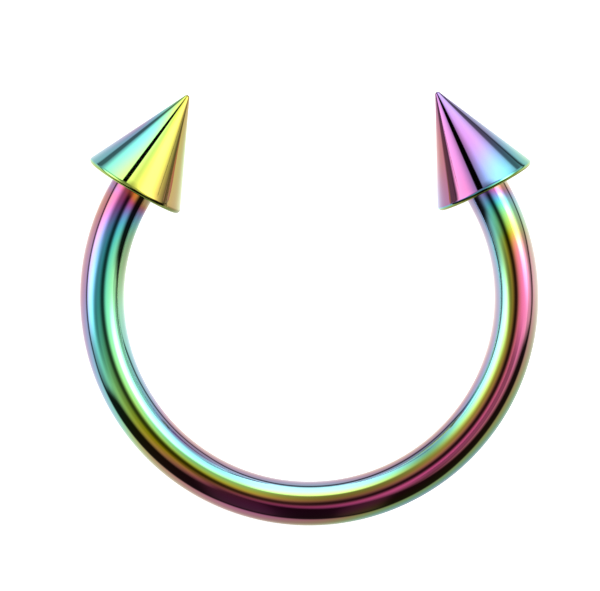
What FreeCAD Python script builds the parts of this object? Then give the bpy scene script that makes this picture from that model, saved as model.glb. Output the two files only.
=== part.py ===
import FreeCAD, Part
import math
import os
import types

import Sketcher

# Horseshoe barbell: a round bar bent into an open ring, with a cone screwed on each end.
# It lies on its side as it would on a table: on the low edge of the bar and on the rims of both cones.
#
# The ring is drawn flat, with its centre at the origin and its mouth towards +Y.
# Each end of the bar has a frame of its own, which starts where the bend stops, with +Y along the post.
# A cone is drawn in that same frame, so one set of sizes puts the post and its cone in line.

# Driving sizes: alias, value in mm or degrees, and what it is
SIZES = [
    ("bar_diameter", 1.2, "16 gauge round bar"),
    ("bend_radius", 5.6, "middle of the bar, for 10 mm across the inside of the ring"),
    ("left_lean", 30.7, "turn of the left post from +Y towards the mouth, degrees"),
    ("right_lean", 27.3, "turn of the right post from +Y towards the mouth, degrees"),
    ("left_straight", 0.12, "straight run between the bend and the left cone"),
    ("right_straight", 0.45, "straight run between the bend and the right cone"),
    ("post_diameter", 1.1, "crest of the M1.2 thread, cut just below the bar"),
    ("post_length", 1.3, "threaded post inside the cone"),
    ("post_bevel", 0.12, "bevel at the end of the post"),
    ("cone_diameter", 2.92, "cone's base, measured to its sharp corner"),
    ("cone_height", 3.01, "cone's base to its sharp tip"),
    ("rim_radius", 0.1, "rounding of the cone's rim"),
    ("tip_radius", 0.08, "rounding of the cone's tip"),
    ("bore_clearance", 0.03, "running clearance round the post"),
    ("bore_depth", 1.4, "straight wall of the cone's blind bore"),
    ("drill_point_angle", 118.0, "angle of the bore's bottom, degrees"),
    ("seat_gap", 0.02, "between the cone's base and the end of the bar"),
    ("ring_centre_ahead", 0.31, "ring's centre ahead of the middle of the footprint"),
]

# The two ends of the bar, and the side of X that each is on
ENDS = {"left": -1, "right": 1}

# How far a resting point may lie from the table, mm
REST_TOLERANCE = 0.01


def make_sizes(doc):
    """Write the driving sizes into a spreadsheet and return them by name."""
    sheet = doc.addObject("Spreadsheet::Sheet", "Sizes")
    for row, (alias, value, meaning) in enumerate(SIZES, start=1):
        sheet.set(f"A{row}", alias)
        sheet.set(f"B{row}", str(value))
        sheet.set(f"C{row}", meaning)
        sheet.setAlias(f"B{row}", alias)
    doc.recompute()
    return types.SimpleNamespace(**{alias: sheet.get(alias) for alias, _, _ in SIZES})


def end_size(size, side, name):
    """A size that the two ends have each for themselves, such as their lean."""
    return getattr(size, f"{side}_{name}")


def new_body(doc, label):
    """Start a body whose label is the name of its piece."""
    body = doc.addObject("PartDesign::Body", label)
    body.Label = label
    return body


def new_sketch(body, name, role):
    """Start a sketch on one of the body's own origin planes."""
    sketch = body.newObject("Sketcher::SketchObject", name)
    plane = next(item for item in body.Origin.OriginFeatures if item.Role == role)
    sketch.AttachmentSupport = [(plane, "")]
    sketch.MapMode = "FlatFace"
    return sketch


def bind(sketch, constraint, name, expression):
    """Add a named constraint to the sketch and tie its value to the sheet."""
    index = sketch.addConstraint(constraint)
    sketch.renameConstraint(index, name)
    sketch.setExpression(f"Constraints.{name}", expression)


def draw_outline(sketch, points):
    """Draw straight lines through the points and back to the first, and return their numbers."""
    corners = [FreeCAD.Vector(x, y, 0) for x, y in points]
    following = corners[1:] + corners[:1]
    lines = [sketch.addGeometry(Part.LineSegment(a, b), False) for a, b in zip(corners, following)]
    for line, after in zip(lines, lines[1:] + lines[:1]):
        sketch.addConstraint(Sketcher.Constraint("Coincident", line, 2, after, 1))
    return lines


def turn_full(body, kind, name, sketch):
    """Turn a half outline a full turn about the sketch's vertical axis."""
    feature = body.newObject(kind, name)
    feature.Profile = sketch
    feature.ReferenceAxis = (sketch, ["V_Axis"])
    feature.Angle = 360.0


def add_bend(body, size):
    """Bend of the bar: its round section, swept about the ring's centre from end to end."""
    section = new_sketch(body, "BendSection", "XZ_Plane")
    middle = FreeCAD.Vector(size.bend_radius, 0, 0)
    circle = Part.Circle(middle, FreeCAD.Vector(0, 0, 1), size.bar_diameter / 2)
    bar = section.addGeometry(circle, False)
    section.addConstraint(Sketcher.Constraint("PointOnObject", bar, 3, -1))
    bind(section, Sketcher.Constraint("Diameter", bar, size.bar_diameter),
         "thickness", "Sizes.bar_diameter")
    bind(section, Sketcher.Constraint("DistanceX", -1, 1, bar, 3, size.bend_radius),
         "bend_radius", "Sizes.bend_radius")

    bend = body.newObject("PartDesign::Revolution", "Bend")
    bend.Profile = section
    bend.ReferenceAxis = (section, ["V_Axis"])
    bend.Type = "TwoAngles"
    bend.setExpression("Angle", "Sizes.right_lean")
    bend.setExpression("Angle2", "180 + Sizes.left_lean")


def add_post(body, size, side):
    """Straight run and threaded post at one end: a stepped half outline in the frame of that end."""
    sketch = new_sketch(body, f"{side.capitalize()}PostOutline", "XY_Plane")
    lean = f"Sizes.{side}_lean * 1 deg"
    sketch.setExpression("AttachmentOffset.Base.x", f"{ENDS[side]} * Sizes.bend_radius * cos({lean})")
    sketch.setExpression("AttachmentOffset.Base.y", f"Sizes.bend_radius * sin({lean})")
    sketch.setExpression("AttachmentOffset.Rotation.Angle", f"{ENDS[side]} * {lean}")

    bar = size.bar_diameter / 2
    post = size.post_diameter / 2
    straight = end_size(size, side, "straight")
    end = straight + size.seat_gap + size.post_length
    base, bar_wall, shoulder, post_wall, bevel, tip, axis = draw_outline(sketch, [
        (0, 0),
        (bar, 0),
        (bar, straight),
        (post, straight),
        (post, end - size.post_bevel),
        (post - size.post_bevel, end),
        (0, end),
    ])
    for line in (base, shoulder, tip):
        sketch.addConstraint(Sketcher.Constraint("Horizontal", line))
    for line in (bar_wall, post_wall, axis):
        sketch.addConstraint(Sketcher.Constraint("Vertical", line))
    sketch.addConstraint(Sketcher.Constraint("Coincident", base, 1, -1, 1))
    bind(sketch, Sketcher.Constraint("DistanceX", base, 1, base, 2, bar),
         "bar_radius", "Sizes.bar_diameter / 2")
    bind(sketch, Sketcher.Constraint("DistanceY", bar_wall, 1, bar_wall, 2, straight),
         "straight", f"Sizes.{side}_straight")
    bind(sketch, Sketcher.Constraint("DistanceX", -1, 1, post_wall, 1, post),
         "post_radius", "Sizes.post_diameter / 2")
    bind(sketch, Sketcher.Constraint("DistanceY", base, 1, tip, 2, end),
         "end", f"Sizes.{side}_straight + Sizes.seat_gap + Sizes.post_length")
    bind(sketch, Sketcher.Constraint("DistanceX", bevel, 2, bevel, 1, size.post_bevel),
         "bevel_in", "Sizes.post_bevel")
    bind(sketch, Sketcher.Constraint("DistanceY", bevel, 1, bevel, 2, size.post_bevel),
         "bevel_up", "Sizes.post_bevel")
    turn_full(body, "PartDesign::Revolution", f"{side.capitalize()}Post", sketch)


def make_bar(doc, size):
    """Bar: the bend with a straight run and a threaded post at each end, one solid."""
    body = new_body(doc, "horseshoe_bar")
    add_bend(body, size)
    for side in ENDS:
        add_post(body, size, side)
    return body


def rim_middle_radius(size):
    """Distance from the cone's axis to the middle of its rounded rim."""
    corner = math.atan2(size.cone_height, size.cone_diameter / 2)
    return size.cone_diameter / 2 - size.rim_radius / math.tan(corner / 2)


def add_cone_shell(body, size):
    """Outside of a cone: a half outline with a rounded rim and tip, held by the lines of the sharp cone."""
    sketch = new_sketch(body, "ConeOutline", "XY_Plane")
    radius = size.cone_diameter / 2
    corner = math.atan2(size.cone_height, radius)
    facing = FreeCAD.Vector(0, 0, 1)
    outward = FreeCAD.Vector(math.sin(corner), math.cos(corner), 0)
    centre = FreeCAD.Vector(0, 0, 0)
    base_end = FreeCAD.Vector(rim_middle_radius(size), 0, 0)
    rim_centre = base_end + FreeCAD.Vector(0, size.rim_radius, 0)
    tip_centre = FreeCAD.Vector(0, size.cone_height - size.tip_radius / math.cos(corner), 0)
    tip_top = tip_centre + FreeCAD.Vector(0, size.tip_radius, 0)
    rim_circle = Part.Circle(rim_centre, facing, size.rim_radius)
    tip_circle = Part.Circle(tip_centre, facing, size.tip_radius)
    up = math.pi / 2

    base, rim, flank, tip, axis = [sketch.addGeometry(shape, False) for shape in (
        Part.LineSegment(centre, base_end),
        Part.ArcOfCircle(rim_circle, -up, up - corner),
        Part.LineSegment(rim_centre + outward * size.rim_radius, tip_centre + outward * size.tip_radius),
        Part.ArcOfCircle(tip_circle, up - corner, up),
        Part.LineSegment(tip_top, centre),
    )]
    sharp_rim = FreeCAD.Vector(radius, 0, 0)
    sharp_tip = FreeCAD.Vector(0, size.cone_height, 0)
    sharp_flank = sketch.addGeometry(Part.LineSegment(sharp_rim, sharp_tip), True)

    sketch.addConstraint([
        Sketcher.Constraint("Coincident", axis, 2, base, 1),
        Sketcher.Constraint("Coincident", base, 1, -1, 1),
        Sketcher.Constraint("Horizontal", base),
        Sketcher.Constraint("Vertical", axis),
        Sketcher.Constraint("Tangent", base, 2, rim, 1),
        Sketcher.Constraint("Tangent", rim, 2, flank, 1),
        Sketcher.Constraint("Tangent", flank, 2, tip, 1),
        Sketcher.Constraint("Coincident", tip, 2, axis, 1),
        Sketcher.Constraint("PointOnObject", tip, 3, -2),
        Sketcher.Constraint("PointOnObject", sharp_flank, 1, -1),
        Sketcher.Constraint("PointOnObject", sharp_flank, 2, -2),
        Sketcher.Constraint("PointOnObject", flank, 1, sharp_flank),
        Sketcher.Constraint("PointOnObject", flank, 2, sharp_flank),
    ])
    bind(sketch, Sketcher.Constraint("DistanceX", -1, 1, sharp_flank, 1, radius),
         "base_radius", "Sizes.cone_diameter / 2")
    bind(sketch, Sketcher.Constraint("DistanceY", -1, 1, sharp_flank, 2, size.cone_height),
         "height", "Sizes.cone_height")
    bind(sketch, Sketcher.Constraint("Radius", rim, size.rim_radius), "rim", "Sizes.rim_radius")
    bind(sketch, Sketcher.Constraint("Radius", tip, size.tip_radius), "tip", "Sizes.tip_radius")
    turn_full(body, "PartDesign::Revolution", "Shell", sketch)


def add_cone_bore(body, size):
    """Blind bore up from the cone's base, with the drill's pointed bottom."""
    sketch = new_sketch(body, "BoreOutline", "XY_Plane")
    bore = size.post_diameter / 2 + size.bore_clearance
    point = bore / math.tan(math.radians(size.drill_point_angle) / 2)
    mouth, wall, bottom, axis = draw_outline(sketch, [
        (0, 0),
        (bore, 0),
        (bore, size.bore_depth),
        (0, size.bore_depth + point),
    ])
    sketch.addConstraint([
        Sketcher.Constraint("Coincident", mouth, 1, -1, 1),
        Sketcher.Constraint("Horizontal", mouth),
        Sketcher.Constraint("Vertical", wall),
        Sketcher.Constraint("Vertical", axis),
    ])
    radius = "(Sizes.post_diameter / 2 + Sizes.bore_clearance)"
    bind(sketch, Sketcher.Constraint("DistanceX", mouth, 1, mouth, 2, bore),
         "bore_radius", radius)
    bind(sketch, Sketcher.Constraint("DistanceY", wall, 1, wall, 2, size.bore_depth),
         "depth", "Sizes.bore_depth")
    bind(sketch, Sketcher.Constraint("DistanceY", wall, 2, bottom, 2, point),
         "point", f"{radius} / tan(Sizes.drill_point_angle * 1 deg / 2)")
    turn_full(body, "PartDesign::Groove", "Bore", sketch)


def make_cone(doc, size, side):
    """Cone for one end, drawn base down in the frame of its post."""
    body = new_body(doc, f"{side}_cone")
    add_cone_shell(body, size)
    add_cone_bore(body, size)
    return body


def end_frame(size, side):
    """Frame of one end of the bar in the flat ring: where the bend stops, with +Y along the post."""
    lean = math.radians(end_size(size, side, "lean"))
    place = FreeCAD.Vector(ENDS[side] * math.cos(lean), math.sin(lean), 0) * size.bend_radius
    turn = FreeCAD.Rotation(FreeCAD.Vector(0, 0, 1), ENDS[side] * math.degrees(lean))
    return FreeCAD.Placement(place, turn)


def rest_tilt(size, side):
    """Angle in radians at which the ring leans back until the cone on one side meets the table.

    The bar touches the table at the point furthest from the mouth, and the cone with its rim.
    With the tilt's sine as x, the middle of the rounded rim is as high as its radius where
    bar + reach * x = rim + middle * sqrt(1 - (slope * x) ^ 2), which squared is a quadratic in x.
    """
    bar = size.bar_diameter / 2
    rim = size.rim_radius
    middle = rim_middle_radius(size)
    slope = math.cos(math.radians(end_size(size, side, "lean")))
    along = end_size(size, side, "straight") + size.seat_gap + rim
    reach = size.bend_radius + end_frame(size, side).Base.y + along * slope
    squared = reach ** 2 + (middle * slope) ** 2
    linear = 2 * reach * (bar - rim)
    constant = (bar - rim) ** 2 - middle ** 2
    sine = (math.sqrt(linear ** 2 - 4 * squared * constant) - linear) / (2 * squared)
    return math.asin(sine)


def place_pieces(size, bar, cones):
    """Lay the ring down at its resting tilt and set each cone on its post."""
    tilt = sum(rest_tilt(size, side) for side in ENDS) / len(ENDS)
    height = size.bend_radius * math.sin(tilt) + size.bar_diameter / 2
    ring = FreeCAD.Placement(
        FreeCAD.Vector(0, size.ring_centre_ahead, height),
        FreeCAD.Rotation(FreeCAD.Vector(1, 0, 0), math.degrees(tilt)),
    )
    bar.Placement = ring
    for side, cone in cones.items():
        seat = FreeCAD.Vector(0, end_size(size, side, "straight") + size.seat_gap, 0)
        cone.Placement = ring * end_frame(size, side) * FreeCAD.Placement(seat, FreeCAD.Rotation())
    print(f"resting tilt {math.degrees(tilt):.3f} degrees, ring's centre {height:.3f} mm up")


def check_document(doc, pieces):
    """Stop if any object failed, or if a piece is empty, broken or off the table."""
    for item in doc.Objects:
        if {"Invalid", "Error"} & set(item.State):
            raise RuntimeError(f"{item.Label} failed: {item.State}")
    for piece in pieces:
        shape = piece.Shape
        if shape.isNull() or not shape.isValid() or len(shape.Solids) != 1:
            raise RuntimeError(f"{piece.Label} is not one valid solid")
        box = shape.optimalBoundingBox()
        print(f"{piece.Label}: {shape.Volume:.3f} mm3, X {box.XMin:.3f} to {box.XMax:.3f},"
              f" Y {box.YMin:.3f} to {box.YMax:.3f}, Z {box.ZMin:.4f} to {box.ZMax:.3f}")
        if abs(box.ZMin) > REST_TOLERANCE:
            raise RuntimeError(f"{piece.Label} does not rest on the table")


def write_pieces(pieces):
    """Write each piece to a file of its own name."""
    os.makedirs("parts", exist_ok=True)
    for piece in pieces:
        piece.Shape.exportStep(f"parts/{piece.Label}.step")


doc = FreeCAD.newDocument("HorseshoeBarbell")
size = make_sizes(doc)
bar = make_bar(doc, size)
cones = {side: make_cone(doc, size, side) for side in ENDS}
place_pieces(size, bar, cones)
doc.recompute()
pieces = [bar, *cones.values()]
check_document(doc, pieces)
write_pieces(pieces)
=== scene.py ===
"""Looks of the horseshoe barbell: a mirror-polished bar and two cone ends under a rainbow film.

All lengths in the sizes below are millimetres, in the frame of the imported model, and all angles are degrees.
"""

import logging
import math
from collections.abc import Callable
from dataclasses import dataclass
from enum import Enum

import bmesh
import bpy
from mathutils import Matrix, Vector


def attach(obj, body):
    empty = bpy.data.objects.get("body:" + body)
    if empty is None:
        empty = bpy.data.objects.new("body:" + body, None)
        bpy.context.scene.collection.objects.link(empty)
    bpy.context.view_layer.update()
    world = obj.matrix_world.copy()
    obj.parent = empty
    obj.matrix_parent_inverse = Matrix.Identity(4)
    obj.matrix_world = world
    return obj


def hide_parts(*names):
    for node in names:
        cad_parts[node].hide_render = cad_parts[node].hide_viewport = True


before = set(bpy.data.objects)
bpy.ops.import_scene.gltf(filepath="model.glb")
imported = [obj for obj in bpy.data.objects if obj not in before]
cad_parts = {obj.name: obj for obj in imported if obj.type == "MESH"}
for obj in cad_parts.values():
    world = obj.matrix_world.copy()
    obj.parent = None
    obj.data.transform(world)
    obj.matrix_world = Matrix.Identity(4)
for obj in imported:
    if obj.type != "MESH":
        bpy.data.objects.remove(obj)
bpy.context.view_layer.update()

MM = 0.001
LOG = logging.getLogger("barbell")
UP = Vector((0.0, 0.0, 1.0))
WHITE = (1.0, 1.0, 1.0, 1.0)

# The bench's own tolerances, in millimetres, and how fine it works.
FLAT = 0.002
WELD = 0.0002
CUT = 0.00001
SEED = 0.02
HELIX_STEPS = 56
LATHE_STEPS = 96
FACE_WEIGHT = 80
SMOOTH_ANGLE = 32.0

Point = tuple[float, float]
Triple = tuple[float, float, float]
Stops = tuple[Point, ...]


class Side(Enum):
    """The two ends of the bar, as seen from above with the mouth away from the viewer."""

    LEFT = -1
    RIGHT = 1


# ---- modelling bench


class Bench:
    """Runs the modelling tools on one mesh at a time, with nothing else selected."""

    @staticmethod
    def clear() -> None:
        """Leaves edit mode and deselects every object."""
        if bpy.context.object is not None and bpy.context.object.mode != "OBJECT":
            bpy.ops.object.mode_set(mode="OBJECT")
        bpy.ops.object.select_all(action="DESELECT")

    @classmethod
    def pick(cls, obj: bpy.types.Object) -> bpy.types.Object:
        """Selects one object alone and makes it the active one.

        Args:
            obj: the object to work on.

        Returns:
            The same object.
        """
        cls.clear()
        obj.select_set(True)
        bpy.context.view_layer.objects.active = obj
        return obj

    @classmethod
    def edit(cls, obj: bpy.types.Object) -> bmesh.types.BMesh:
        """Opens an object in edit mode with vertices as what is selected.

        Args:
            obj: the object to open.

        Returns:
            Its mesh, for selecting by place or normal.
        """
        cls.pick(obj)
        bpy.ops.object.mode_set(mode="EDIT")
        bpy.ops.mesh.select_mode(type="VERT")
        return bmesh.from_edit_mesh(obj.data)

    @classmethod
    def select_near(cls, obj: bpy.types.Object, spot: Vector, normal: Vector, reach: float) -> int:
        """Selects the vertices that lie in a plane, near a point of it.

        Args:
            obj: the object, which goes to edit mode.
            spot: the point, in metres.
            normal: the plane's normal.
            reach: how far from the point a vertex may be.

        Returns:
            How many vertices are selected.
        """
        mesh = cls.edit(obj)
        bpy.ops.mesh.select_all(action="DESELECT")
        for vert in mesh.verts:
            away = vert.co - spot
            vert.select = abs(away.dot(normal)) < FLAT * MM and away.length < reach
        mesh.select_flush(True)
        bmesh.update_edit_mesh(obj.data)
        return sum(vert.select for vert in mesh.verts)

    @classmethod
    def seed(cls, name: str, spot: Vector) -> bpy.types.Object:
        """Makes an object of one selected vertex to extrude from, and leaves it in edit mode.

        Args:
            name: the new object's name.
            spot: the vertex's place, in metres.

        Returns:
            The object.
        """
        cls.clear()
        bpy.ops.mesh.primitive_plane_add(size=SEED * MM, location=(0, 0, 0))
        obj = bpy.context.object
        obj.name = name
        bpy.ops.object.mode_set(mode="EDIT")
        bpy.ops.mesh.select_all(action="SELECT")
        bpy.ops.mesh.merge(type="CENTER")
        bpy.ops.transform.translate(value=spot)
        return obj

    @classmethod
    def outline(cls, name: str, points: Stops) -> bpy.types.Object:
        """Draws a chain of edges in the plane through the Z axis, as radius and height.

        Args:
            name: the new object's name.
            points: radius and height of each corner, in order.

        Returns:
            The object with the chain, out of edit mode.
        """
        radius, height = points[0]
        obj = cls.seed(name, Vector((radius, 0.0, height)) * MM)
        for (r0, z0), (r1, z1) in zip(points, points[1:]):
            step = ((r1 - r0) * MM, 0, (z1 - z0) * MM)
            bpy.ops.mesh.extrude_vertices_move(TRANSFORM_OT_translate={"value": step})
        bpy.ops.object.mode_set(mode="OBJECT")
        return obj

    @classmethod
    def turn(cls, name: str, points: Stops, steps: int) -> bpy.types.Object:
        """Turns an outline once round the Z axis, as on a lathe.

        Args:
            name: the new object's name.
            points: radius and height of the outline's corners, from axis to axis.
            steps: how many facets go round.

        Returns:
            The closed body.
        """
        obj = cls.outline(name, points)
        cls.edit(obj)
        bpy.ops.mesh.select_all(action="SELECT")
        bpy.ops.mesh.spin(steps=steps, angle=math.tau, center=(0, 0, 0), axis=(0, 0, 1))
        cls.close(obj)
        return obj

    @classmethod
    def close(cls, obj: bpy.types.Object) -> None:
        """Merges doubled vertices and turns all faces outwards.

        Args:
            obj: the object, which comes back out of edit mode.
        """
        cls.edit(obj)
        bpy.ops.mesh.select_all(action="SELECT")
        bpy.ops.mesh.remove_doubles(threshold=WELD * MM)
        bpy.ops.mesh.normals_make_consistent(inside=False)
        bpy.ops.object.mode_set(mode="OBJECT")

    @classmethod
    def helix(cls, name: str, tooth: Stops, pitch: float, turns: int, low: float, high: float) -> bpy.types.Object:
        """Winds a tooth outline round the Z axis and cuts the thread square at both ends.

        Args:
            name: the new object's name.
            tooth: radius and height of one pitch of the thread, from root to root.
            pitch: the rise in one turn.
            turns: how many turns are wound before the ends are cut.
            low: height of the lower cut.
            high: height of the upper cut.

        Returns:
            The closed threaded body.
        """
        obj = cls.outline(name, tooth)
        cls.pick(obj)
        bpy.ops.object.modifier_add(type="SCREW")
        screw = obj.modifiers[-1]
        screw.axis = "Z"
        screw.steps = screw.render_steps = HELIX_STEPS
        screw.iterations = turns
        screw.screw_offset = pitch * MM
        bpy.ops.object.modifier_apply(modifier=screw.name)
        cls.edit(obj)
        bpy.ops.mesh.select_all(action="SELECT")
        bpy.ops.mesh.remove_doubles(threshold=WELD * MM)
        for height, up in ((low, False), (high, True)):
            bpy.ops.mesh.select_all(action="SELECT")
            bpy.ops.mesh.bisect(
                plane_co=(0, 0, height * MM),
                plane_no=(0, 0, 1),
                use_fill=True,
                clear_inner=not up,
                clear_outer=up,
                threshold=CUT * MM,
            )
        cls.close(obj)
        return obj

    @classmethod
    def combine(cls, obj: bpy.types.Object, other: bpy.types.Object, how: str) -> None:
        """Joins, cuts or keeps the overlap of one body with another, and removes the other.

        Args:
            obj: the body that is changed.
            other: the body that is used up.
            how: UNION, DIFFERENCE or INTERSECT.
        """
        cls.pick(obj)
        bpy.ops.object.modifier_add(type="BOOLEAN")
        boolean = obj.modifiers[-1]
        boolean.operation = how
        boolean.solver = "EXACT"
        boolean.object = other
        bpy.ops.object.modifier_apply(modifier=boolean.name)
        bpy.data.objects.remove(other)

    @classmethod
    def copy(cls, obj: bpy.types.Object, name: str, place: Matrix) -> bpy.types.Object:
        """Copies a body with its own mesh and puts it in place, with the place in its mesh.

        Args:
            obj: the body to copy.
            name: the copy's name.
            place: where the copy goes.

        Returns:
            The copy, its object at the origin.
        """
        twin = obj.copy()
        twin.data = obj.data.copy()
        twin.name = name
        bpy.context.scene.collection.objects.link(twin)
        cls.pick(twin)
        twin.matrix_world = place
        bpy.ops.object.transform_apply(location=True, rotation=True, scale=True)
        return twin

    @classmethod
    def polish(cls, obj: bpy.types.Object, angle: float) -> None:
        """Shades a body smooth up to an angle, with flat and conical faces kept true.

        Args:
            obj: the body.
            angle: edges that turn by more than this stay sharp.
        """
        cls.pick(obj)
        bpy.ops.object.shade_smooth_by_angle(angle=math.radians(angle))
        bpy.ops.object.modifier_add(type="WEIGHTED_NORMAL")
        weighted = obj.modifiers[-1]
        weighted.keep_sharp = True
        weighted.weight = FACE_WEIGHT
        bpy.ops.object.modifier_apply(modifier=weighted.name)

    @staticmethod
    def chart(obj: bpy.types.Object, place: Callable[[Vector], Point]) -> None:
        """Gives a flat object the map named across.

        Args:
            obj: the object.
            place: finds a vertex's place on the map, from 0 to 1 both ways.
        """
        layer = obj.data.uv_layers.new(name="across")
        for loop in obj.data.loops:
            layer.data[loop.index].uv = place(obj.data.vertices[loop.vertex_index].co)


def arc(middle: Point, radius: float, start: float, end: float, steps: int) -> list[Point]:
    """Lays points along an arc.

    Args:
        middle: the arc's middle.
        radius: its radius.
        start: the angle that it starts at, in radians.
        end: the angle that it ends at.
        steps: how many parts it has.

    Returns:
        The points, with both ends.
    """
    angles = [start + (end - start) * i / steps for i in range(steps + 1)]
    return [(middle[0] + radius * math.cos(angle), middle[1] + radius * math.sin(angle)) for angle in angles]


def between(start: Point, end: Point, parts: int) -> list[Point]:
    """Divides a straight line.

    Args:
        start: where it starts.
        end: where it ends.
        parts: how many equal parts it has.

    Returns:
        The points between its ends.
    """
    shares = [i / parts for i in range(1, parts)]
    return [(start[0] + (end[0] - start[0]) * share, start[1] + (end[1] - start[1]) * share) for share in shares]


# ---- shader wiring


class Wiring:
    """Adds nodes to one node tree and joins them."""

    def __init__(self, tree: bpy.types.NodeTree) -> None:
        """Empties the tree and starts on it.

        Args:
            tree: the tree of a material or of the world.
        """
        self.tree = tree
        tree.nodes.clear()

    @classmethod
    def material(cls, name: str) -> tuple[bpy.types.Material, "Wiring"]:
        """Makes an empty material.

        Args:
            name: its name.

        Returns:
            The material and its wiring.
        """
        made = bpy.data.materials.new(name)
        made.use_nodes = True
        return made, cls(made.node_tree)

    def add(self, kind: str, **settings: object) -> bpy.types.Node:
        """Adds one node.

        Args:
            kind: the node's type.
            **settings: its settings by name.

        Returns:
            The node.
        """
        node = self.tree.nodes.new(kind)
        for name, value in settings.items():
            setattr(node, name, value)
        return node

    def feed(self, socket: bpy.types.NodeSocket, value: object) -> None:
        """Links a socket to an output, or sets it to a constant.

        Args:
            socket: the input.
            value: an output socket, a number or a tuple.
        """
        if isinstance(value, bpy.types.NodeSocket):
            self.tree.links.new(value, socket)
        else:
            socket.default_value = value

    def calc(self, how: str, *values: object, clamp: bool = False) -> bpy.types.NodeSocket:
        """Adds a Math node.

        Args:
            how: the operation.
            *values: outputs or numbers, in the node's own order.
            clamp: whether the result stays between 0 and 1.

        Returns:
            The result's socket.
        """
        node = self.add("ShaderNodeMath", operation=how, use_clamp=clamp)
        for socket, value in zip(node.inputs, values):
            self.feed(socket, value)
        return node.outputs[0]

    def length(self, x: object, y: object) -> bpy.types.NodeSocket:
        """Takes the length of a flat vector.

        Args:
            x: its first part.
            y: its second part.

        Returns:
            The length's socket.
        """
        return self.calc("SQRT", self.calc("ADD", self.calc("MULTIPLY", x, x), self.calc("MULTIPLY", y, y)))

    def flank(self, across: object) -> bpy.types.NodeSocket:
        """Tells how far a round surface has turned away, from 0 at its crown to 1 at its edge.

        Args:
            across: the place across it, from -1 to 1.

        Returns:
            The result's socket.
        """
        square = self.calc("MULTIPLY", across, across)
        return self.calc("SUBTRACT", 1.0, self.calc("SQRT", self.calc("SUBTRACT", 1.0, square, clamp=True)))

    def total(self, values: list[object]) -> bpy.types.NodeSocket:
        """Adds up two or more values.

        Args:
            values: outputs or numbers.

        Returns:
            Their sum's socket.
        """
        result = values[0]
        for value in values[1:]:
            result = self.calc("ADD", result, value)
        return result

    def ease(self, value: object, start: float, end: float) -> bpy.types.NodeSocket:
        """Rises smoothly from 0 at start to 1 at end, whichever of them is larger.

        Args:
            value: what is compared.
            start: where the rise begins.
            end: where it is complete.

        Returns:
            The result's socket.
        """
        node = self.add("ShaderNodeMapRange", interpolation_type="SMOOTHSTEP")
        self.feed(node.inputs["Value"], value)
        low, high = min(start, end), max(start, end)
        self.feed(node.inputs["From Min"], low)
        self.feed(node.inputs["From Max"], high)
        self.feed(node.inputs["To Min"], 0.0 if start < end else 1.0)
        self.feed(node.inputs["To Max"], 1.0 if start < end else 0.0)
        return node.outputs["Result"]

    def span(self, value: object, low: float, high: float, soft_low: float, soft_high: float) -> bpy.types.NodeSocket:
        """Is 1 between two limits and 0 outside them, with soft edges.

        Args:
            value: what is compared.
            low: the middle of the lower edge.
            high: the middle of the upper edge.
            soft_low: the lower edge's width.
            soft_high: the upper edge's width.

        Returns:
            The result's socket.
        """
        rise = self.ease(value, low - soft_low / 2, low + soft_low / 2)
        fall = self.ease(value, high + soft_high / 2, high - soft_high / 2)
        return self.calc("MULTIPLY", rise, fall)

    def curve(self, value: object, stops: Stops) -> bpy.types.NodeSocket:
        """Reads a smooth curve through a few points.

        Args:
            value: where along the curve.
            stops: place and height of each point, in rising order.

        Returns:
            The height's socket.
        """
        low, high = stops[0][0], stops[-1][0]
        floor = min(height for _, height in stops)
        tall = max(height for _, height in stops) - floor
        share = self.add("ShaderNodeMapRange", clamp=True)
        self.feed(share.inputs["Value"], value)
        self.feed(share.inputs["From Min"], low)
        self.feed(share.inputs["From Max"], high)
        node = self.add("ShaderNodeFloatCurve")
        line = node.mapping.curves[0]
        wanted = [((x - low) / (high - low), (y - floor) / tall) for x, y in stops]
        while len(line.points) < len(wanted):
            line.points.new(0.5, 0.5)
        for point, place in zip(line.points, wanted):
            point.location = place
            point.handle_type = "AUTO_CLAMPED"
        node.mapping.update()
        self.feed(node.inputs["Value"], share.outputs["Result"])
        return self.calc("MULTIPLY_ADD", node.outputs[0], tall, floor)

    def blend(self, share: object, first: object, second: object) -> bpy.types.NodeSocket:
        """Mixes two colours.

        Args:
            share: how much of the second one there is.
            first: the first colour.
            second: the second colour.

        Returns:
            The mixed colour's socket.
        """
        mix = self.add("ShaderNodeMix", data_type="RGBA", clamp_factor=True)
        colours = [socket for socket in mix.inputs if socket.type == "RGBA"]
        self.feed(mix.inputs["Factor"], share)
        self.feed(colours[0], first)
        self.feed(colours[1], second)
        return next(socket for socket in mix.outputs if socket.type == "RGBA")

    def blend_shaders(self, share: object, first: object, second: object) -> bpy.types.NodeSocket:
        """Mixes two shaders.

        Args:
            share: how much of the second one there is.
            first: the first shader.
            second: the second shader.

        Returns:
            The mixed shader's socket.
        """
        mix = self.add("ShaderNodeMixShader")
        for socket, value in zip(mix.inputs, (share, first, second)):
            self.feed(socket, value)
        return mix.outputs[0]

    def shader(self, kind: str, values: dict[str, object]) -> bpy.types.NodeSocket:
        """Adds a shader.

        Args:
            kind: the node's type.
            values: its inputs by name.

        Returns:
            The shader's socket.
        """
        node = self.add(kind)
        for name, value in values.items():
            self.feed(node.inputs[name], value)
        return node.outputs[0]

    def finish(self, surface: bpy.types.NodeSocket, kind: str = "ShaderNodeOutputMaterial") -> None:
        """Adds the output.

        Args:
            surface: the shader that is seen.
            kind: the output node's type.
        """
        self.feed(self.add(kind).inputs["Surface"], surface)

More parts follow.
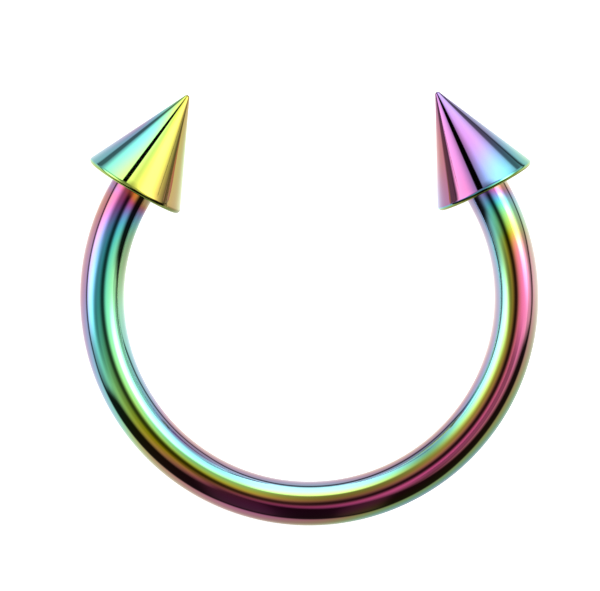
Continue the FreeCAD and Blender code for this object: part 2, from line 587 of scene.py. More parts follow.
    def place_in(self, origin: Vector, turn: Matrix) -> tuple[bpy.types.NodeSocket, ...]:
        """Reads the surface point in a piece's own frame, in millimetres.

        Args:
            origin: the frame's origin, in metres.
            turn: the frame's three axes as a matrix's columns.

        Returns:
            The sockets of its three coordinates.
        """
        source = self.add("ShaderNodeTexCoord")
        mapping = self.add("ShaderNodeMapping", vector_type="TEXTURE")
        self.feed(mapping.inputs["Vector"], source.outputs["Object"])
        self.feed(mapping.inputs["Location"], tuple(origin))
        self.feed(mapping.inputs["Rotation"], tuple(turn.to_euler("XYZ")))
        self.feed(mapping.inputs["Scale"], (MM, MM, MM))
        split = self.add("ShaderNodeSeparateXYZ")
        self.feed(split.inputs[0], mapping.outputs["Vector"])
        return tuple(split.outputs)


# ---- finishes


@dataclass(frozen=True)
class InterferenceFilm:
    """The film's colour by the path of light in it: each primary rises and falls with its own wavelength."""

    middle: Triple = (0.484, 0.476, 0.40)
    swing: Triple = (0.40, 0.403, 0.40)
    wavelength: Triple = (638.0, 519.0, 461.3)
    # The white that the painted sheen mixes towards.
    pale: float = 0.9

    def colour(self, wires: Wiring, path: object, painted_sheen: object, tone: float = 1.0) -> bpy.types.NodeSocket:
        """Wires the film's colour.

        Args:
            wires: the material's nodes.
            path: the path of light in the film, in nanometres.
            painted_sheen: how far the colour is mixed towards white, from 0 to 1, as a painted sheen.
            tone: how bright the whole film is.

        Returns:
            The colour's socket.
        """
        merge = wires.add("ShaderNodeCombineColor")
        for socket, middle, swing, length in zip(merge.inputs, self.middle, self.swing, self.wavelength):
            wave = wires.calc("COSINE", wires.calc("MULTIPLY", path, math.tau / length))
            wires.feed(socket, wires.calc("MULTIPLY_ADD", wave, tone * swing, tone * middle))
        # Painted sheen: mixed towards white, it stands in for washed-out highlights and pale grazing reflections.
        return wires.blend(painted_sheen, merge.outputs[0], (tone * self.pale,) * 3 + (1.0,))


@dataclass(frozen=True)
class MirrorPolish:
    """The polished steel under the film, with the faint marks that polishing leaves."""

    roughness: float = 0.055
    marks: float = 0.03
    mark_scale: float = 2.2
    mark_detail: float = 5.0

    def dress(self, wires: Wiring, colour: bpy.types.NodeSocket, spot: tuple[bpy.types.NodeSocket, ...]) -> None:
        """Wires the surface shader.

        Args:
            wires: the material's nodes.
            colour: the film's colour, with its painted sheen.
            spot: the surface point in the piece's own frame, in millimetres.
        """
        where = wires.add("ShaderNodeCombineXYZ")
        for socket, value in zip(where.inputs, spot):
            wires.feed(socket, value)
        noise = wires.add("ShaderNodeTexNoise")
        wires.feed(noise.inputs["Vector"], where.outputs[0])
        wires.feed(noise.inputs["Scale"], self.mark_scale)
        wires.feed(noise.inputs["Detail"], self.mark_detail)
        rough = wires.calc("MULTIPLY_ADD", noise.outputs[0], self.marks, self.roughness - self.marks / 2)
        steel = {"Base Color": colour, "Metallic": 1.0, "Roughness": rough}
        wires.finish(wires.shader("ShaderNodeBsdfPrincipled", steel))


@dataclass(frozen=True)
class ThreadSteel:
    """The threads, cut before the film was laid on: darker steel with a dull sheen."""

    tint: Triple = (0.46, 0.42, 0.44)
    roughness: float = 0.28
    uneven: float = 0.1
    contrast: float = 0.2
    grain: float = 9.0
    grain_detail: float = 4.0

    def material(self) -> bpy.types.Material:
        """Makes the material.

        Returns:
            The material.
        """
        made, wires = Wiring.material("thread_steel")
        source = wires.add("ShaderNodeTexCoord")
        noise = wires.add("ShaderNodeTexNoise")
        wires.feed(noise.inputs["Vector"], source.outputs["Object"])
        wires.feed(noise.inputs["Scale"], self.grain / MM)
        wires.feed(noise.inputs["Detail"], self.grain_detail)
        dark, light = (
            tuple(share * part for part in self.tint) + (1.0,) for share in (1.0 - self.contrast, 1.0 + self.contrast)
        )
        steel = {
            "Base Color": wires.blend(noise.outputs[0], dark, light),
            "Metallic": 1.0,
            "Roughness": wires.calc("MULTIPLY_ADD", noise.outputs[0], self.uneven, self.roughness),
        }
        wires.finish(wires.shader("ShaderNodeBsdfPrincipled", steel))
        return made


# ---- the frame that the bar is bent in


@dataclass(frozen=True)
class RingFrame:
    """The plane of the bent ring: its middle, and how far it tips as it lies on its cones."""

    centre: Triple = (0.0, 0.31, 1.11423)
    tilt: float = 5.2687
    radius: float = 5.6
    left_lean: float = 30.7
    right_lean: float = 27.3
    left_straight: float = 0.12
    right_straight: float = 0.45

    def place(self) -> Matrix:
        """The frame as a matrix, in metres."""
        return Matrix.Translation(Vector(self.centre) * MM) @ Matrix.Rotation(math.radians(self.tilt), 4, "X")

    def lean(self, side: Side) -> float:
        """How far one end leans in, in degrees."""
        return self.left_lean if side is Side.LEFT else self.right_lean

    def straight(self, side: Side) -> float:
        """The length of the straight run at one end."""
        return self.left_straight if side is Side.LEFT else self.right_straight

    def end(self, side: Side, along: float = 0.0) -> Matrix:
        """The frame at one end of the bend, with Z along the bar and out of it.

        Args:
            side: which end.
            along: how far past the end of the bend, in millimetres.

        Returns:
            The frame as a matrix, in metres.
        """
        lean = math.radians(self.lean(side))
        spot = Vector((side.value * math.cos(lean), math.sin(lean), 0.0)) * self.radius * MM
        turn = Matrix.Rotation(side.value * lean, 4, "Z") @ Matrix.Rotation(math.radians(-90.0), 4, "X")
        return self.place() @ Matrix.Translation(spot) @ turn @ Matrix.Translation((0, 0, along * MM))


# ---- threads


@dataclass
class ThreadForm:
    """The fine thread that holds the cones: a vee with a flat crest and a flat root.

    The corners are the shares of one pitch at which the outline turns.
    """

    root: float
    crest: float
    pitch: float = 0.25
    corners: tuple[float, ...] = (0.0, 0.1, 0.44, 0.56, 0.9, 1.0)
    spare_turns: int = 2

    def wind(self, name: str, low: float, high: float) -> bpy.types.Object:
        """Winds the thread as a closed body on the Z axis.

        Args:
            name: the new object's name.
            low: where it begins.
            high: where it ends.

        Returns:
            The threaded body.
        """
        start = low - self.spare_turns * self.pitch
        turns = math.ceil((high - start) / self.pitch) + self.spare_turns
        radii = (self.root, self.root, self.crest, self.crest, self.root, self.root)
        tooth = tuple((radius, start + share * self.pitch) for radius, share in zip(radii, self.corners))
        return Bench.helix(name, tooth, self.pitch, turns, low, high)


@dataclass
class ThreadedPost:
    """The post at each end of the bar: a relieved neck, the thread, and a chamfered tip."""

    radius: float = 0.55
    length: float = 1.3
    bevel: float = 0.12
    neck: float = 0.405
    neck_length: float = 0.1
    root: float = 0.41
    sunk: float = 0.03
    spare: float = 0.01

    def build(self) -> bpy.types.Object:
        """Models the post once, on the Z axis, with its foot a little below the shoulder.

        Returns:
            The post.
        """
        post = ThreadForm(root=self.root, crest=self.radius).wind("post", -self.sunk, self.length)
        foot, outer, top = -self.sunk - 2 * self.spare, self.radius + self.spare, self.length + self.spare
        shape = (
            (0.0, foot),
            (self.neck, foot),
            (self.neck, self.neck_length),
            (outer, self.neck_length + self.radius - self.neck),
            (outer, self.length - self.bevel),
            (self.radius - self.bevel, top),
            (0.0, top),
        )
        Bench.combine(post, Bench.turn("post_envelope", shape, LATHE_STEPS), "INTERSECT")
        return post


# ---- the bar


@dataclass
class HorseshoeBar:
    """The bent bar with a short straight run, a shoulder and a threaded post at each end.

    The posts' own steel is laid on the faces above post_foot and within post_reach of a post's axis. Towards the
    edges
    the film fades to white: a painted sheen that stands in for the pale grazing reflections on the flanks.
    """

    ring: RingFrame
    radius: float = 0.6
    around: int = LATHE_STEPS
    along: int = 400
    shoulder_edge: float = 0.025
    post_foot: float = 0.002
    post_top: float = 2.0
    post_reach: float = 0.57
    painted_sheen_rise: float = 0.68

    def build(self) -> bpy.types.Object:
        """Bends the bar, draws out its ends and joins the posts to them.

        Returns:
            The bar.
        """
        start = self.ring.end(Side.LEFT)
        Bench.clear()
        bpy.ops.mesh.primitive_circle_add(
            vertices=self.around,
            radius=self.radius * MM,
            fill_type="NOTHING",
            location=start.translation,
            rotation=start.to_euler("XYZ"),
        )
        bar = bpy.context.object
        bar.name = "horseshoe_bar_polished"
        bpy.ops.object.transform_apply(location=True, rotation=True, scale=True)
        place = self.ring.place()
        sweep = math.pi + math.radians(self.ring.left_lean + self.ring.right_lean)
        Bench.edit(bar)
        bpy.ops.mesh.select_all(action="SELECT")
        bpy.ops.mesh.spin(
            steps=self.along,
            angle=-sweep,
            center=place.translation,
            axis=place.to_3x3() @ UP,
        )
        for side in Side:
            self.draw_out(bar, side)
        Bench.close(bar)
        post = ThreadedPost().build()
        for side in Side:
            foot = self.ring.end(side, self.ring.straight(side))
            Bench.combine(bar, Bench.copy(post, "post_copy", foot), "UNION")
        bpy.data.objects.remove(post)
        Bench.close(bar)
        return bar

    def draw_out(self, bar: bpy.types.Object, side: Side) -> None:
        """Extends one end of the bend to its shoulder, eases the shoulder's edge and closes it.

        Args:
            bar: the bar.
            side: which end.
        """
        end = self.ring.end(side)
        axis = (end.to_3x3() @ UP).normalized()
        found = Bench.select_near(bar, end.translation, axis, (self.radius + self.shoulder_edge) * MM)
        LOG.info("%s end of the bend has %d points", side.name.lower(), found)
        run = self.ring.straight(side)
        for step in (run - self.shoulder_edge, self.shoulder_edge):
            bpy.ops.mesh.extrude_edges_move(TRANSFORM_OT_translate={"value": axis * step * MM})
        shrink = 1.0 - self.shoulder_edge / self.radius
        centre = self.ring.end(side, run).translation
        bpy.ops.transform.resize(value=(shrink,) * 3, center_override=centre)
        bpy.ops.mesh.edge_face_add()

    def dress(self, bar: bpy.types.Object, film: InterferenceFilm, thread: bpy.types.Material) -> None:
        """Gives the bar its film with a painted sheen, and the posts their own steel.

        Args:
            bar: the bar.
            film: how the film is coloured.
            thread: the threads' material.
        """
        made, wires = Wiring.material("rainbow_bar")
        place = self.ring.place()
        x, y, z = wires.place_in(place.translation, place.to_3x3())
        inward = wires.calc("MULTIPLY_ADD", wires.length(x, y), -1.0 / self.radius, self.ring.radius / self.radius)
        polar = wires.calc("MULTIPLY", wires.calc("ARCTAN2", y, x), math.degrees(1.0))
        polar = wires.calc("WRAP", polar, 450.0, 90.0)
        square = wires.calc("MULTIPLY", inward, inward)
        path = wires.total(
            [
                wires.curve(polar, BAR_FILM_PATH),
                wires.calc("MULTIPLY", inward, wires.curve(polar, BAR_FILM_INNER_GAIN)),
                wires.calc("MULTIPLY", square, wires.curve(polar, BAR_FILM_FLANK_GAIN)),
            ]
        )
        # Painted sheen: paler towards the flanks, standing in for the pale grazing reflections there.
        painted_sheen = wires.calc("POWER", wires.flank(inward), self.painted_sheen_rise)
        painted_sheen = wires.calc("MULTIPLY", painted_sheen, wires.curve(polar, BAR_PAINTED_SHEEN))
        MirrorPolish().dress(wires, film.colour(wires, path, painted_sheen), (x, y, z))
        bar.data.materials.clear()
        bar.data.materials.append(made)
        bar.data.materials.append(thread)
        for side in Side:
            home = self.ring.end(side, self.ring.straight(side)).inverted()
            for face in bar.data.polygons:
                spot = (home @ face.center) / MM
                if self.post_foot < spot.z < self.post_top and spot.xy.length < self.post_reach:
                    face.material_index = 1


# Against the angle round the ring, anticlockwise from the right, in degrees: the path of light in the film along the
# bar's crown, what it gains towards the inside of the ring, what it gains towards both flanks, all in nanometres, and
# how strong the painted sheen is, the whitening towards the flanks that stands in for pale grazing reflections.
BAR_FILM_PATH: Stops = (
    (149.0, 730.0), (151.5, 785.0), (154.0, 837.0), (157.0, 886.0), (161.0, 935.0), (168.0, 970.0),
    (178.0, 989.0), (200.0, 1066.0), (230.0, 1170.0), (262.0, 1249.0), (300.0, 1254.0), (350.0, 1226.0),
    (371.0, 1207.0), (380.0, 1106.0), (385.0, 1041.0), (389.0, 909.0), (392.0, 808.0),
)
BAR_FILM_INNER_GAIN: Stops = (
    (150.0, -105.0), (165.0, 180.0), (185.0, 116.0), (210.0, -23.0), (240.0, -230.0), (270.0, -162.0),
    (300.0, -95.0), (330.0, -128.0), (360.0, -213.0), (380.0, -134.0), (391.0, 118.0),
)
BAR_FILM_FLANK_GAIN: Stops = (
    (150.0, -30.0), (165.0, -45.0), (210.0, -217.0), (240.0, -250.0), (270.0, -284.0), (300.0, -464.0),
    (330.0, -379.0), (360.0, -265.0), (391.0, -148.0),
)
BAR_PAINTED_SHEEN: Stops = (
    (149.0, 0.42), (158.0, 0.5), (172.0, 0.66), (330.0, 0.66), (358.0, 0.9), (380.0, 0.84), (392.0, 0.7),
)


# ---- the cones


# Where the paths on a cone are given across it, from -1 at its left flank to 1 at its right flank.
ACROSS = (-1.0, -0.8, -0.5, 0.0, 0.5, 0.8, 1.0)
Row = tuple[float, float, float, float, float, float, float]


@dataclass(frozen=True)
class ConeFilm:
    """The film's path on one cone, across it, at the tip, halfway down, at the base and on the rim."""

    tip: Row
    middle: Row
    base: Row
    rim: float
    tone: float
    rim_start: float = 0.955
    rim_end: float = 0.985

    def path(self, wires: Wiring, across: object, down: object) -> bpy.types.NodeSocket:
        """Wires the path of light in the film.

        Args:
            wires: the material's nodes.
            across: from -1 at the left flank to 1 at the right flank.
            down: from 0 at the tip to 1 at the base.

        Returns:
            The path's socket.
        """
        tip, middle, base = (
            wires.curve(across, tuple(zip(ACROSS, row))) for row in (self.tip, self.middle, self.base)
        )
        result = tip
        for start, end, wanted in (
            (0.0, 0.5, middle),
            (0.5, 1.0, base),
            (self.rim_start, self.rim_end, self.rim),
        ):
            step = wires.calc("SUBTRACT", wanted, result)
            result = wires.calc("MULTIPLY_ADD", step, wires.ease(down, start, end), result)
        return result


CONE_FILMS = {
    Side.LEFT: ConeFilm(
        tip=(1100.0, 1110.0, 1140.0, 1156.0, 1170.0, 1178.0, 1205.0),
        middle=(815.0, 925.0, 1012.0, 1116.0, 1154.0, 1160.0, 1105.0),
        base=(950.0, 965.0, 1055.0, 1138.0, 1168.0, 1178.0, 1130.0),
        rim=1120.0,
        tone=0.96,
    ),
    Side.RIGHT: ConeFilm(
        tip=(790.0, 800.0, 812.0, 838.0, 845.0, 838.0, 840.0),
        middle=(745.0, 755.0, 802.0, 818.0, 828.0, 850.0, 880.0),
        base=(860.0, 800.0, 790.0, 875.0, 930.0, 965.0, 1040.0),
        rim=1130.0,
        tone=0.98,
    ),
}


@dataclass
class ConeEnd:
    """A pointed end: rounded tip, straight flank, softened rim, flat base and a tapped blind hole.

    The thread in the hole starts thread_lead outside it, ends thread_rest before its bottom, and its tap is
    tap_root inside the bore and tap_crest outside it. The film is washed towards white a little everywhere and more
    towards the flanks: a painted sheen that stands in for washed-out highlights and pale grazing reflections.
    """

    ring: RingFrame
    radius: float = 1.46
    height: float = 3.01
    tip: float = 0.08
    rim: float = 0.1
    bore: float = 0.58
    depth: float = 1.4
    mouth: float = 0.05
    drill_angle: float = 118.0
    gap: float = 0.02
    around: int = 256
    tip_steps: int = 12
    flank_steps: int = 20
    rim_steps: int = 16
    bore_steps: int = 7
    tap_root: float = 0.03
    tap_crest: float = 0.07
    thread_lead: float = 0.1
    thread_rest: float = 0.25
    thread_skin: float = 0.02
    painted_sheen_rise: float = 1.3
    painted_sheen_gain: float = 0.4
    painted_sheen_least: float = 0.1

    def profile(self) -> Stops:
        """The cone's outline from its tip round to the bottom of the hole.

        Returns:
            Radius and height of each corner.
        """
        slope = math.atan2(self.radius, self.height)
        quarter = math.pi / 2
        ball = self.height * (1.0 - self.tip / math.cos(slope) / self.radius)
        hub = self.radius - self.rim / math.tan((quarter - slope) / 2)
        wide = self.bore + self.mouth
        tip = arc((0.0, ball), self.tip, quarter, slope, self.tip_steps)
        tip[0] = (0.0, tip[0][1])
        edge = arc((hub, self.rim), self.rim, slope, -quarter, self.rim_steps)
        wall = [(self.bore, self.mouth), (self.bore, self.depth)]
        drilled = self.depth + self.bore / math.tan(math.radians(self.drill_angle / 2))
        return (
            *tip,
            *between(tip[-1], edge[0], self.flank_steps),
            *edge,
            (0.5 * (hub + wide), 0.0),
            (wide, 0.0),
            wall[0],
            *between(wall[0], wall[1], self.bore_steps),
            wall[1],
            (0.0, drilled),
        )

    def build(self) -> bpy.types.Object:
        """Turns the cone once, on the Z axis, and taps its hole.

        Returns:
            The cone.
        """
        cone = Bench.turn("cone", self.profile(), self.around)
        thread = ThreadForm(root=self.bore - self.tap_root, crest=self.bore + self.tap_crest)
        Bench.combine(cone, thread.wind("tap", -self.thread_lead, self.depth - self.thread_rest), "DIFFERENCE")
        return cone

    def place(self, side: Side) -> Matrix:
        """Where a cone sits on its post.

        Args:
            side: which end.

        Returns:
            The middle of its base, with Z towards its tip.
        """
        return self.ring.end(side, self.ring.straight(side) + self.gap)

    def dress(
        self, cone: bpy.types.Object, side: Side, film: InterferenceFilm, thread: bpy.types.Material
    ) -> None:
        """Gives a cone its film with a painted sheen, and its hole the threads' steel.

        Args:
            cone: the cone, in place.
            side: which end it is on.
            film: how the film is coloured.
            thread: the threads' material.
        """
        made, wires = Wiring.material(f"rainbow_cone_{side.name.lower()}")
        place = self.place(side)
        laid = CONE_FILMS[side]
        x, y, z = wires.place_in(place.translation, place.to_3x3())
        across = wires.calc("DIVIDE", x, wires.calc("MAXIMUM", wires.length(x, y), 0.001))
        down = wires.calc("MULTIPLY_ADD", z, -1.0 / self.height, 1.0, clamp=True)
        path = laid.path(wires, across, down)
        # Painted sheen, whiter towards the flanks: it stands in for washed-out highlights and pale grazing
        # reflections.
        painted_sheen = wires.calc("POWER", wires.flank(across), self.painted_sheen_rise)
        painted_sheen = wires.calc("MULTIPLY_ADD", painted_sheen, self.painted_sheen_gain, self.painted_sheen_least)
        MirrorPolish().dress(wires, film.colour(wires, path, painted_sheen, laid.tone), (x, y, z))
        cone.data.materials.clear()
        cone.data.materials.append(made)
        cone.data.materials.append(thread)
        home = place.inverted()
        for face in cone.data.polygons:
            spot = (home @ face.center) / MM
            outer = self.radius * (1.0 - spot.z / self.height)
            inner = self.bore + self.tap_crest + self.thread_skin
            if 0.5 * self.mouth < spot.z and spot.xy.length < min(inner, outer - self.thread_skin):
                face.material_index = 1


# ---- the studio


@dataclass(frozen=True)
class Panel:
    """A soft panel of the light tent, by compass direction and by angle from straight up, in degrees.

    It reaches half on both sides of toward, and from top down to foot. The soft values are the widths of its edges.
    """

    toward: float
    half: float
    soft: float
    top: float
    foot: float
    soft_top: float
    soft_foot: float
    level: float

    def light(self, wires: Wiring, azimuth: object, zenith: object) -> bpy.types.NodeSocket:
        """Wires how strongly the panel shines in a direction.

        Args:
            wires: the world's nodes.
            azimuth: the direction's compass angle.
            zenith: its angle from straight up.

        Returns:
            The level's socket.
        """
        away = wires.calc("WRAP", wires.calc("SUBTRACT", azimuth, self.toward), 180.0, -180.0)
        aside = wires.calc("ABSOLUTE", away)
        across = wires.ease(aside, self.half + self.soft / 2, self.half - self.soft / 2)
        height = wires.span(zenith, self.top, self.foot, self.soft_top, self.soft_foot)
        return wires.calc("MULTIPLY", wires.calc("MULTIPLY", across, height), self.level)


SOFTBOXES = (
    Panel(26, 32, 20, 39, 66, 14, 36, 2.35),
    Panel(90, 30, 38, 42, 92, 11, 22, 1.68),
    Panel(172, 22, 46, 44, 88, 32, 22, 1.85),
    Panel(1, 18, 50, 18, 61, 24, 4, 0.8),
    Panel(211, 30, 11, 37, 67, 35, 22, 0.61),
)
# The seams take light away instead of giving it.
SEAMS = (
    Panel(207, 10, 10, 32, 89, 10, 10, 0.39),
    Panel(52, 10, 17, 33, 98, 10, 13, 0.38),
    Panel(200, 10, 12, 26, 48, 15, 15, 0.41),
)
# Against the compass direction, anticlockwise from the right: how far down the dark front card's top edge lies, how
# much light passes the card, how far down the dark gap between the tent and its base lies, and how bright the tent's
# ceiling and its base are.
CARD_TOP: Stops = (
    (0.0, 130.0), (190.0, 130.0), (198.0, 100.0), (206.0, 92.0), (212.0, 68.0), (222.0, 44.0), (236.0, 39.0),
    (248.0, 34.0), (262.0, 16.0), (276.0, 22.0), (288.0, 31.0), (304.0, 43.0), (320.0, 47.0), (332.0, 50.0),
    (342.0, 65.0), (350.0, 95.0), (356.0, 125.0), (360.0, 130.0),
)
CARD_LEAK: Stops = (
    (0.0, 0.0), (242.0, 0.0), (252.0, 0.1), (262.0, 0.05), (270.0, 0.0), (276.0, 0.01), (283.0, 0.07),
    (290.0, 0.0), (360.0, 0.0),
)
HORIZON: Stops = (
    (0.0, 87.0), (5.0, 89.0), (20.0, 104.0), (45.0, 109.0), (68.0, 100.0), (90.0, 99.0), (108.0, 101.0),
    (128.0, 105.0), (148.0, 93.0), (156.0, 88.0), (166.0, 84.0), (182.0, 82.0), (198.0, 84.0), (215.0, 92.0),
    (240.0, 90.0), (264.0, 82.0), (292.0, 89.0), (312.0, 83.0), (330.0, 80.0), (342.0, 81.0), (354.0, 85.0),
    (360.0, 87.0),
)
CEILING: Stops = (
    (0.0, 0.45), (50.0, 0.60), (105.0, 0.24), (160.0, 0.40), (215.0, 0.31), (270.0, 0.57), (320.0, 0.73),
    (360.0, 0.45),
)
BASE: Stops = (
    (0.0, 0.84), (60.0, 0.68), (120.0, 0.64), (180.0, 0.82), (240.0, 0.50), (300.0, 0.32), (360.0, 0.84),
)


@dataclass
class LightTent:
    """The studio round the barbell: soft panels and black cards, a pale base, and the gap between them.

    A fade holds the angles past an edge at which the light starts and at which it is whole.
    """

    card_fade: Point = (13.0, -12.0)
    tent_fade: Point = (4.0, -8.0)
    base_fade: Point = (2.0, 14.0)
    middle_fade: Point = (120.0, 170.0)
    base_middle: float = 0.36
    stray: float = 0.01
    backdrop: float = 1.0

    def build(self) -> None:
        """Wires the world: the tent for reflections and light, a plain pale backdrop for the camera."""
        world = bpy.data.worlds.new("light_tent")
        bpy.context.scene.world = world
        world.use_nodes = True
        wires = Wiring(world.node_tree)
        source = wires.add("ShaderNodeTexCoord")
        split = wires.add("ShaderNodeSeparateXYZ")
        wires.feed(split.inputs[0], source.outputs["Generated"])
        east, north, up = split.outputs
        azimuth = wires.calc("MULTIPLY", wires.calc("ARCTAN2", north, east), math.degrees(1.0))
        azimuth = wires.calc("WRAP", azimuth, 360.0, 0.0)
        zenith = wires.calc("MULTIPLY", wires.calc("ARCCOSINE", up), math.degrees(1.0))
        panels = [panel.light(wires, azimuth, zenith) for panel in SOFTBOXES]
        tent = wires.total([wires.curve(azimuth, CEILING), *panels])
        for seam in SEAMS:
            tent = wires.calc("MULTIPLY", tent, wires.calc("SUBTRACT", 1.0, seam.light(wires, azimuth, zenith)))
        under = wires.calc("SUBTRACT", zenith, wires.curve(azimuth, CARD_TOP))
        passed = wires.calc("MAXIMUM", wires.ease(under, *self.card_fade), wires.curve(azimuth, CARD_LEAK))
        tent = wires.calc("MULTIPLY", tent, passed)
        below = wires.calc("SUBTRACT", zenith, wires.curve(azimuth, HORIZON))
        tent = wires.calc("MULTIPLY", tent, wires.ease(below, *self.tent_fade))
        base = wires.calc("MULTIPLY", wires.ease(zenith, *self.middle_fade), self.base_middle)
        base = wires.calc("ADD", base, wires.curve(azimuth, BASE))
        base = wires.calc("MULTIPLY", base, wires.ease(below, *self.base_fade))
        seen = {"Color": WHITE, "Strength": wires.total([tent, base, self.stray])}
        plain = {"Color": WHITE, "Strength": self.backdrop}
        path = wires.add("ShaderNodeLightPath")
        both = wires.blend_shaders(
            path.outputs["Is Camera Ray"],
            wires.shader("ShaderNodeBackground", seen),
            wires.shader("ShaderNodeBackground", plain),
        )
        wires.finish(both, "ShaderNodeOutputWorld")


@dataclass(frozen=True)
class FlagPaint:
    """Matt black or dark grey that fades out towards a flag's edges, and that only reflections see."""

    strength: float = 1.0
    core: float = 0.1
    end_core: float = 0.97
    grey: float = 0.0

    def lay(self, flag: bpy.types.Object) -> None:
        """Paints a flag by its own map, which runs from 0 to 1 across it and from 0 to 1 along it.

        Args:
            flag: the flag.
        """
        made, wires = Wiring.material(f"{flag.name}_black")
        source = wires.add("ShaderNodeUVMap", uv_map="across")
        split = wires.add("ShaderNodeSeparateXYZ")
        wires.feed(split.inputs[0], source.outputs[0])
        middle = wires.calc("ABSOLUTE", wires.calc("MULTIPLY_ADD", split.outputs[0], 2.0, -1.0))
        end = wires.calc("ABSOLUTE", wires.calc("MULTIPLY_ADD", split.outputs[1], 2.0, -1.0))
        cover = wires.calc("MULTIPLY", wires.ease(middle, 1.0, self.core), wires.ease(end, 1.0, self.end_core))
        dark = wires.shader("ShaderNodeEmission", {"Color": (self.grey, self.grey, self.grey, 1.0)})
        clear = wires.shader("ShaderNodeBsdfTransparent", {})
        wires.finish(wires.blend_shaders(wires.calc("MULTIPLY", cover, self.strength), clear, dark))
        flag.data.materials.append(made)
        flag.visible_camera = False
        flag.visible_diffuse = False
        flag.visible_shadow = False


@dataclass
class RingFlag:
    """A black flag bent like the bar and held just above it, between two radii and two polar angles."""

    ring: RingFrame
    name: str
    inner: float
    outer: float
    start: float
    end: float
    above: float = 3.0
    steps: int = 240
    slack: float = 5.0

    def place(self, spot: Vector) -> Point:
        """Finds the place of a point of the flag on its map.

        Args:
            spot: the point in the ring's plane, in metres.

        Returns:
            How far across the flag and how far along it the point lies, both from 0 to 1.
        """
        across = (spot.xy.length / MM - self.inner) / (self.outer - self.inner)
        past = (math.degrees(math.atan2(spot.y, spot.x)) - self.start + self.slack) % 360.0 - self.slack
        return across, past / (self.end - self.start)

    def build(self, paint: FlagPaint) -> bpy.types.Object:
        """Spins a short edge along the bend.

        Args:
            paint: how the flag is painted.

        Returns:
            The flag.
        """
        away = Vector((math.cos(math.radians(self.start)), math.sin(math.radians(self.start)), 0.0))
        flag = Bench.seed(self.name, away * self.inner * MM)
        width = away * (self.outer - self.inner) * MM
        bpy.ops.mesh.extrude_vertices_move(TRANSFORM_OT_translate={"value": width})
        bpy.ops.mesh.select_all(action="SELECT")
        sweep = math.radians(self.end - self.start)
        bpy.ops.mesh.spin(steps=self.steps, angle=-sweep, center=(0, 0, 0), axis=(0, 0, 1))
        bpy.ops.object.mode_set(mode="OBJECT")
        Bench.chart(flag, self.place)
        Bench.pick(flag)
        flag.matrix_world = self.ring.place() @ Matrix.Translation((0, 0, self.above * MM))
        bpy.ops.object.transform_apply(location=True, rotation=True, scale=True)
        paint.lay(flag)
        return flag


@dataclass
class ConeFlag:
    """A black strip held along a cone, whose reflection is a sharp dark wedge on the cone.

    It is held away from the flank, reaches as far on both sides of its middle, and its middle lies ahead of the
    flank's own towards the tip, so that its end stays out of sight when the cone is unscrewed.
    """

    cone: ConeEnd
    away: float = 2.0
    reach: float = 3.0
    ahead: float = 0.8

    def build(self, side: Side, turn: float, half: float, paint: FlagPaint) -> bpy.types.Object:
        """Sets the strip where one line of the cone's flank sees it from straight above.

        Args:
            side: which cone.
            turn: how far to the right of the cone's crown that line lies, in degrees.
            half: half of the strip's width, in millimetres.
            paint: how dark the strip is and how it fades.

        Returns:
            The strip.
        """
        place = self.cone.place(side)
        axis = (place.to_3x3() @ UP).normalized()
        right = axis.cross(UP).normalized()
        crown = right.cross(axis)
        slope = math.atan2(self.cone.radius, self.cone.height)
        out = right * math.sin(math.radians(turn)) + crown * math.cos(math.radians(turn))
        normal = out * math.cos(slope) + axis * math.sin(slope)
        sight = (normal * 2.0 * normal.z - UP).normalized()
        ruling = (axis * math.cos(slope) - out * math.sin(slope)).normalized()
        middle = place.translation + (axis * self.cone.height + out * self.cone.radius) * 0.5 * MM
        across = sight.cross(ruling).normalized()
        along = across.cross(sight)
        middle += (sight * self.away + along * self.ahead) * MM
        Bench.clear()
        bpy.ops.mesh.primitive_plane_add(size=2.0, location=(0, 0, 0))
        flag = bpy.context.object
        flag.name = f"{side.name.lower()}_cone_flag_{round(turn) % 360}"
        Bench.chart(flag, lambda spot: (0.5 * spot.x + 0.5, 0.5 * spot.y + 0.5))
        basis = Matrix((across * half, along * self.reach, sight)).transposed().to_4x4()
        flag.matrix_world = Matrix.Translation(middle) @ Matrix.Diagonal((MM, MM, MM, 1.0)) @ basis
        Bench.pick(flag)
        bpy.ops.object.transform_apply(location=True, rotation=True, scale=True)
        paint.lay(flag)
        return flag


@dataclass
class LightTable:
    """The pale sheet that the barbell lies on, lit a little from below so that shadows stay faint."""

    size: float = 1200.0
    tone: float = 0.9
    roughness: float = 0.9
    glow: float = 0.8

    def build(self) -> bpy.types.Object:
        """Lays the sheet.

        Returns:
            The sheet.
        """
        Bench.clear()
        bpy.ops.mesh.primitive_plane_add(size=self.size * MM, location=(0, 0, 0))
        sheet = bpy.context.object
        sheet.name = "light_table"
        made, wires = Wiring.material("pale_sheet")
        matt = {
            "Base Color": (self.tone, self.tone, self.tone, 1.0),
            "Roughness": self.roughness,
            "Specular IOR Level": 0.0,
            "Emission Color": WHITE,
            "Emission Strength": self.glow,
        }
        wires.finish(wires.shader("ShaderNodeBsdfPrincipled", matt))
        sheet.data.materials.append(made)
        sheet.visible_glossy = False
        return sheet


@dataclass
class Camera:
    """The camera, straight above the barbell, far off behind a long lens.

    The width is what it sees at the height of its aim. The nearest and farthest things it sees are in metres.
    """

    aim: Triple = (-0.249, 0.375, 1.114)
    lens: float = 300.0
    sensor: float = 36.0
    width: float = 16.216
    nearest: float = 0.001
    farthest: float = 10.0

    def build(self) -> None:
        """Sets the camera up and makes it the scene's own."""
        data = bpy.data.cameras.new("camera")
        data.lens = self.lens
        data.sensor_width = self.sensor
        data.clip_start = self.nearest
        data.clip_end = self.farthest
        camera = bpy.data.objects.new("camera", data)
        camera.location = (Vector(self.aim) + UP * (self.width * self.lens / self.sensor)) * MM
        bpy.context.scene.collection.objects.link(camera)
        bpy.context.scene.camera = camera


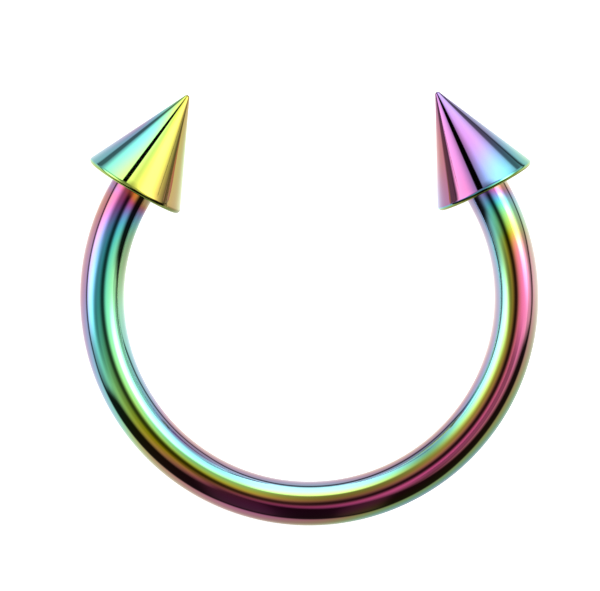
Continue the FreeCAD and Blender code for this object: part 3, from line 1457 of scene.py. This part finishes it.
def report(obj: bpy.types.Object) -> None:
    """Says what a finished piece holds.

    Args:
        obj: the piece.
    """
    faces = sum(len(face.vertices) - 2 for face in obj.data.polygons)
    mesh = bmesh.new()
    mesh.from_mesh(obj.data)
    loose = sum(not edge.is_manifold for edge in mesh.edges)
    mesh.free()
    LOG.info("%s: %d triangles, %d open edges", obj.name, faces, loose)


def main() -> None:
    """Builds and dresses the barbell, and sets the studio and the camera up."""
    logging.basicConfig(level=logging.INFO, format="%(name)s: %(message)s")
    ring = RingFrame()
    film = InterferenceFilm()
    thread = ThreadSteel().material()

    bar_maker = HorseshoeBar(ring)
    bar = bar_maker.build()
    bar_maker.dress(bar, film, thread)
    Bench.polish(bar, SMOOTH_ANGLE)
    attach(bar, "bar")
    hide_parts("horseshoe_bar")
    report(bar)

    cone_maker = ConeEnd(ring)
    model = cone_maker.build()
    for side in Side:
        name = side.name.lower()
        cone = Bench.copy(model, f"{name}_cone_polished", cone_maker.place(side))
        cone_maker.dress(cone, side, film, thread)
        Bench.polish(cone, SMOOTH_ANGLE)
        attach(cone, f"{name}_end")
        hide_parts(f"{name}_cone")
        report(cone)
    bpy.data.objects.remove(model)

    soft = FlagPaint(strength=0.62, core=0.5, end_core=0.5)
    black = FlagPaint(core=0.7, end_core=0.8)
    dim = FlagPaint(strength=0.95, core=0.3, end_core=0.8, grey=0.15)
    studio = [
        RingFlag(ring, "crown_flag", 4.42, 6.42, 149.0, 392.0).build(FlagPaint(strength=0.94)),
        RingFlag(ring, "front_right_flag", 6.1, 7.9, 290.0, 356.0).build(soft),
    ]
    for side, turn, half, paint in (
        (Side.LEFT, -11.0, 0.3, black),
        (Side.RIGHT, -7.5, 0.42, black),
        (Side.LEFT, -50.0, 0.45, dim),
        (Side.RIGHT, -44.0, 0.6, dim),
        (Side.RIGHT, 46.0, 0.55, dim),
    ):
        studio.append(ConeFlag(cone_maker).build(side, turn, half, paint))
    studio.append(LightTable().build())
    LOG.info("studio: %s", ", ".join(item.name for item in studio))
    LightTent().build()
    Camera().build()
    bpy.context.scene.view_settings.view_transform = "Standard"
    Bench.clear()


if __name__ == "__main__":
    main()
